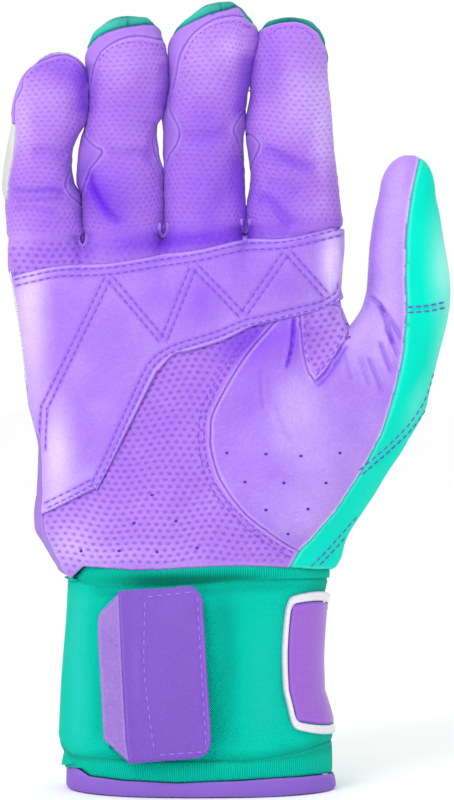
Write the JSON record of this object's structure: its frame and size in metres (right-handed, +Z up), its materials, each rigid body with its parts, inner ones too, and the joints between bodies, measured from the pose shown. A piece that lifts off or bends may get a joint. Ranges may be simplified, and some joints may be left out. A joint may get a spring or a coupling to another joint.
{
  "type": "batting glove",
  "caption": "Long-cuff batting glove with dimpled leather palm, sewn overlay, stretch back, finger and thumb stalls, and a wrist strap that closes with a peel-off tab.",
  "frame": {"origin": "on the floor under the middle of the glove, which stands on its cuff hem", "axes": "+Z up to the fingertips, -Y out of the palm, +X to the thumb side"},
  "size_m": [0.139, 0.0596, 0.2455],
  "materials": {
    "dimpled_leather": "dimpled grip leather",
    "smooth_leather": "smooth soft leather",
    "dark_trim": "smooth trim and fourchettes",
    "stretch_mint": "stretch fabric",
    "ribbed_mint": "ribbed elastic binding",
    "knit_white": "open knit",
    "side_knit": "knit",
    "hook_pile": "hook tape",
    "loop_pile": "loop tape",
    "rubber_trim": "matt moulded",
    "rubber_white": "matt moulded"
  },
  "bodies": {
    "hand": {"palm_panel": "dimpled_leather", "palm_overlay": "smooth_leather", "web_wedge_panel": "dimpled_leather", "thenar_panel": "smooth_leather", "index_side_gusset": "dark_trim", "ulnar_side_panel": "side_knit", "thumb_outer_panel": "stretch_mint", "knuckle_flex_panel": "dark_trim", "back_hand_panel": "knit_white", "cuff_top_binding": "ribbed_mint", "strap_band": "stretch_mint", "cuff_bottom_binding": "ribbed_mint", "cuff_hem": "dark_trim", "cuff_sleeve": "stretch_mint", "loop_patch": "loop_pile", "strap_patch": "rubber_trim", "strap_patch_border": "rubber_white"},
    "pinky": {"pinky_front": "dimpled_leather", "pinky_gusset": "dark_trim", "pinky_back": "stretch_mint"},
    "ring": {"ring_front": "dimpled_leather", "ring_gusset": "dark_trim", "ring_back": "stretch_mint"},
    "middle": {"middle_front": "dimpled_leather", "middle_gusset": "dark_trim", "middle_back": "stretch_mint"},
    "index": {"index_front": "dimpled_leather", "index_gusset": "dark_trim", "index_back": "stretch_mint"},
    "thumb": {"thumb_front": "smooth_leather", "thumb_back": "stretch_mint"},
    "strap_end": {"strap_end_band": "stretch_mint", "strap_tab": "rubber_trim", "tab_pull_lip": "rubber_trim", "hook_patch": "hook_pile"}
  },
  "joints": [
    {"name": "pinky_flex", "type": "hinge", "parent": "hand", "child": "pinky", "pos_m": [-0.05767, -0.00904, 0.17113], "axis": [1, 0, 0], "range_deg": [0, 70]},
    {"name": "ring_flex", "type": "hinge", "parent": "hand", "child": "ring", "pos_m": [-0.0332, -0.00904, 0.17206], "axis": [1, 0, 0], "range_deg": [0, 70]},
    {"name": "middle_flex", "type": "hinge", "parent": "hand", "child": "middle", "pos_m": [-0.00795, -0.00904, 0.17393], "axis": [1, 0, 0], "range_deg": [0, 70]},
    {"name": "index_flex", "type": "hinge", "parent": "hand", "child": "index", "pos_m": [0.02057, -0.00904, 0.17424], "axis": [1, 0, 0], "range_deg": [0, 70]},
    {"name": "thumb_flex", "type": "hinge", "parent": "hand", "child": "thumb", "pos_m": [0.05299, -0.01004, 0.14432], "axis": [1, 0, 0], "range_deg": [0, 40]},
    {"name": "strap_peel", "type": "hinge", "parent": "hand", "child": "strap_end", "pos_m": [-0.00477, -0.02985, 0.035], "axis": [0, 0, 1], "range_deg": [0, 130]}
  ]
}
